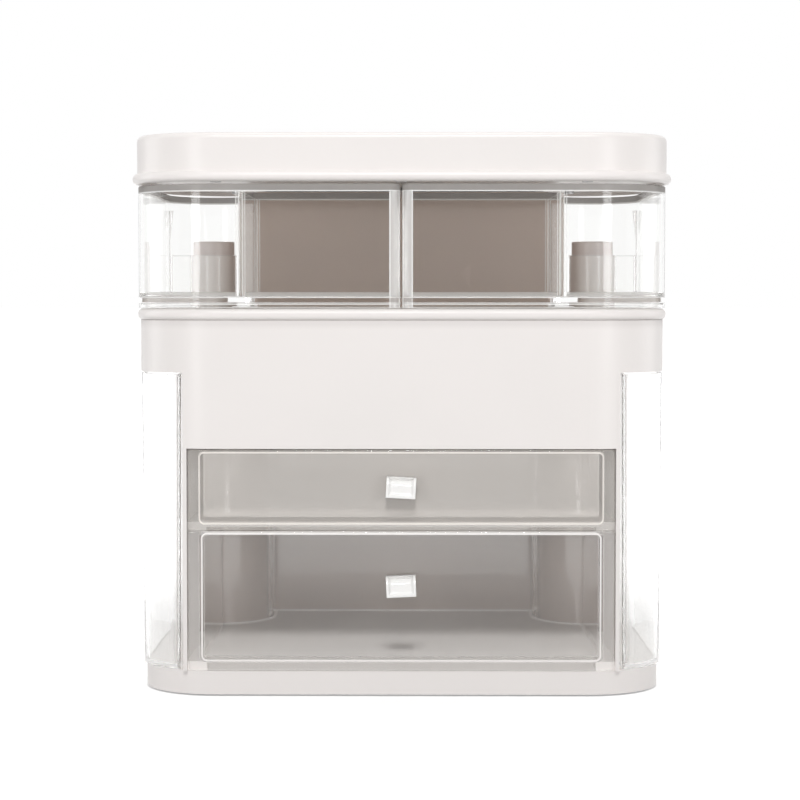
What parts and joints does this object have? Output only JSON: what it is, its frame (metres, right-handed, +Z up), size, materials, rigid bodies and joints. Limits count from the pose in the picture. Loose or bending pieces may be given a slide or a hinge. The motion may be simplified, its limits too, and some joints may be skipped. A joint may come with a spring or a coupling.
{
  "type": "cosmetic case",
  "caption": "Table-top cosmetic case with a hinged lid, clear swing-out trays, clear drawers with pull tabs and clear swing-out side bins.",
  "frame": {"origin": "on the surface that the case stands on, below the middle of its plan", "axes": "+Z up, +X to the right as seen from the front, +Y from the front to the back"},
  "size_m": [0.2934, 0.2057, 0.3],
  "materials": {
    "white_plastic": "satin moulded white",
    "column_plastic": "satin moulded grey-brown",
    "post_plastic": "satin moulded grey",
    "clear_plastic": "clear polished",
    "tab_plastic": "gloss white",
    "steel": "bright zinc-plated",
    "rubber": "matte pale grey"
  },
  "bodies": {
    "case": {"base_plinth": "white_plastic", "rubber_feet": "rubber", "base_screws": "steel", "body_shell": "white_plastic", "drawer_shelf": "white_plastic", "well_floor": "white_plastic", "top_deck": "white_plastic", "rear_column": "column_plastic", "column_screws": "steel", "left_tray_post": "post_plastic", "right_tray_post": "post_plastic", "left_post_cap": "post_plastic", "right_post_cap": "post_plastic", "post_screws": "steel", "left_bin_rod": "steel", "right_bin_rod": "steel"},
    "lid": {"lid_cover": "white_plastic", "lid_liner": "white_plastic", "lid_screws": "steel", "lid_hinge_pins": "steel"},
    "left_tray_body": {"left_tray": "clear_plastic", "left_tray_divider": "clear_plastic"},
    "right_tray_body": {"right_tray": "clear_plastic", "right_tray_divider": "clear_plastic"},
    "upper_drawer_body": {"upper_drawer": "clear_plastic", "upper_knob": "tab_plastic", "upper_knob_screw": "steel"},
    "lower_drawer_body": {"lower_drawer": "clear_plastic", "lower_knob": "tab_plastic", "lower_knob_screw": "steel"},
    "left_bin_body": {"left_side_bin": "clear_plastic"},
    "right_bin_body": {"right_side_bin": "clear_plastic"}
  },
  "joints": [
    {"name": "lid_hinge", "type": "hinge", "parent": "case", "child": "lid", "pos_m": [0, 0.0986, 0.27], "axis": [-1, 0, 0], "range_deg": [0, 100]},
    {"name": "left_tray_swing", "type": "hinge", "parent": "case", "child": "left_tray_body", "pos_m": [-0.113, 0.062, 0.24], "axis": [0, 0, -1], "range_deg": [0, 100]},
    {"name": "right_tray_swing", "type": "hinge", "parent": "case", "child": "right_tray_body", "pos_m": [0.113, 0.062, 0.24], "axis": [0, 0, 1], "range_deg": [0, 100]},
    {"name": "upper_drawer_slide", "type": "slide", "parent": "case", "child": "upper_drawer_body", "axis": [0, -1, 0], "range_m": [0, 0.108]},
    {"name": "lower_drawer_slide", "type": "slide", "parent": "case", "child": "lower_drawer_body", "axis": [0, -1, 0], "range_m": [0, 0.108]},
    {"name": "left_bin_swing", "type": "hinge", "parent": "case", "child": "left_bin_body", "pos_m": [-0.113, 0.062, 0.09], "axis": [0, 0, -1], "range_deg": [0, 90]},
    {"name": "right_bin_swing", "type": "hinge", "parent": "case", "child": "right_bin_body", "pos_m": [0.113, 0.062, 0.09], "axis": [0, 0, 1], "range_deg": [0, 90]}
  ]
}
